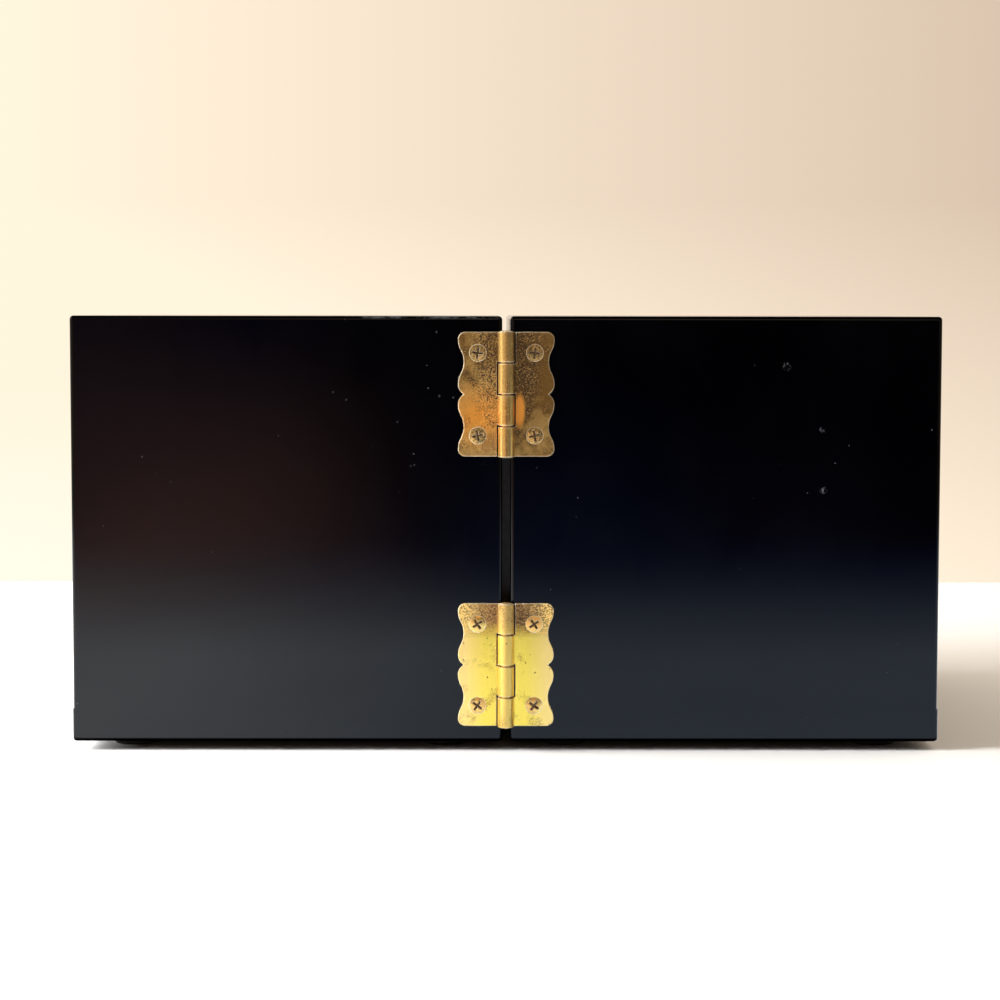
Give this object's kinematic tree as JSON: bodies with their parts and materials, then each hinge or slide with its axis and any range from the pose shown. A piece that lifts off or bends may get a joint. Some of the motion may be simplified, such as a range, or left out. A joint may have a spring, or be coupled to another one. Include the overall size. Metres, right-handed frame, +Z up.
{
  "type": "jewelry box",
  "caption": "Black lacquered jewelry box in two hinged halves that open like a book, with drawers, ring rolls, a mirror, necklace hooks and a swing hook.",
  "frame": {"origin": "on the table, under the middle of the whole box's bounding box", "axes": "+X to the right along both halves as seen from the hinged back, +Y from the hinged back to the clasp front, +Z up"},
  "size_m": [0.2792, 0.187, 0.14],
  "materials": {
    "black_lacquer": "high-gloss black lacquer on board",
    "black_stained_wood": "satin black stain",
    "hinge_brass": "bright brass plate, speckled with tarnish",
    "screw_brass": "bright brass plate",
    "fittings_brass": "bright brass plate",
    "velvet_lining": "red velvet on card",
    "velvet_roll": "red velvet over foam",
    "felt": "black felt",
    "mirror": "silvered glass"
  },
  "bodies": {
    "left_case": {"left_back_board": "black_lacquer", "left_front_board": "black_lacquer", "left_side_board": "black_lacquer", "left_top_board": "black_lacquer", "left_base_board": "black_lacquer", "left_feet": "felt", "left_hinge_screws": "screw_brass", "upper_hinge_left_leaf": "hinge_brass", "lower_hinge_left_leaf": "hinge_brass", "upper_hinge_pin": "hinge_brass", "lower_hinge_pin": "hinge_brass", "hook_plate": "fittings_brass", "hook_plate_screws": "screw_brass", "hook_pivot": "fittings_brass", "closing_lip": "black_stained_wood", "closing_bumpers": "felt", "drawer_guides": "black_stained_wood", "drawer_floor": "black_stained_wood", "drawer_shelves": "black_stained_wood"},
    "right_case": {"right_back_board": "black_lacquer", "right_front_board": "black_lacquer", "right_side_board": "black_lacquer", "right_top_board": "black_lacquer", "right_base_board": "black_lacquer", "right_feet": "felt", "right_hinge_screws": "screw_brass", "upper_hinge_right_leaf": "hinge_brass", "lower_hinge_right_leaf": "hinge_brass", "catch_plate": "fittings_brass", "catch_plate_screws": "screw_brass", "catch_post": "fittings_brass", "right_floor_lining": "velvet_lining", "right_back_lining": "velvet_lining", "right_front_lining": "velvet_lining", "right_side_lining": "velvet_lining", "mirror_glass": "mirror", "mirror_frame": "black_lacquer", "necklace_rail": "black_stained_wood", "necklace_hooks": "fittings_brass"},
    "bottom_drawer": {"bottom_drawer_front": "black_lacquer", "bottom_drawer_frame": "black_stained_wood", "bottom_drawer_bottom": "black_stained_wood", "bottom_drawer_lining": "velvet_lining", "bottom_drawer_knob": "fittings_brass"},
    "middle_drawer": {"middle_drawer_front": "black_lacquer", "middle_drawer_frame": "black_stained_wood", "middle_drawer_bottom": "black_stained_wood", "middle_drawer_lining": "velvet_lining", "middle_drawer_knob": "fittings_brass", "long_divider": "velvet_lining", "cross_dividers": "velvet_lining"},
    "top_drawer": {"top_drawer_front": "black_lacquer", "top_drawer_frame": "black_stained_wood", "top_drawer_bottom": "black_stained_wood", "top_drawer_lining": "velvet_lining", "top_drawer_knob": "fittings_brass", "ring_rolls": "velvet_roll"},
    "swing_hook": {"swing_hook": "fittings_brass"}
  },
  "joints": [
    {"name": "case_hinge", "type": "hinge", "parent": "left_case", "child": "right_case", "pos_m": [0, -0.0909, 0.0715], "axis": [0, 0, -1], "range_deg": [0, 180]},
    {"name": "bottom_drawer_slide", "type": "slide", "parent": "left_case", "child": "bottom_drawer", "axis": [1, 0, 0], "range_m": [0, 0.08]},
    {"name": "middle_drawer_slide", "type": "slide", "parent": "left_case", "child": "middle_drawer", "axis": [1, 0, 0], "range_m": [0, 0.08]},
    {"name": "top_drawer_slide", "type": "slide", "parent": "left_case", "child": "top_drawer", "axis": [1, 0, 0], "range_m": [0, 0.08]},
    {"name": "hook_pivot", "type": "hinge", "parent": "left_case", "child": "swing_hook", "pos_m": [-0.012, 0.0915, 0.092], "axis": [0, 1, 0], "range_deg": [-75, 270]}
  ]
}
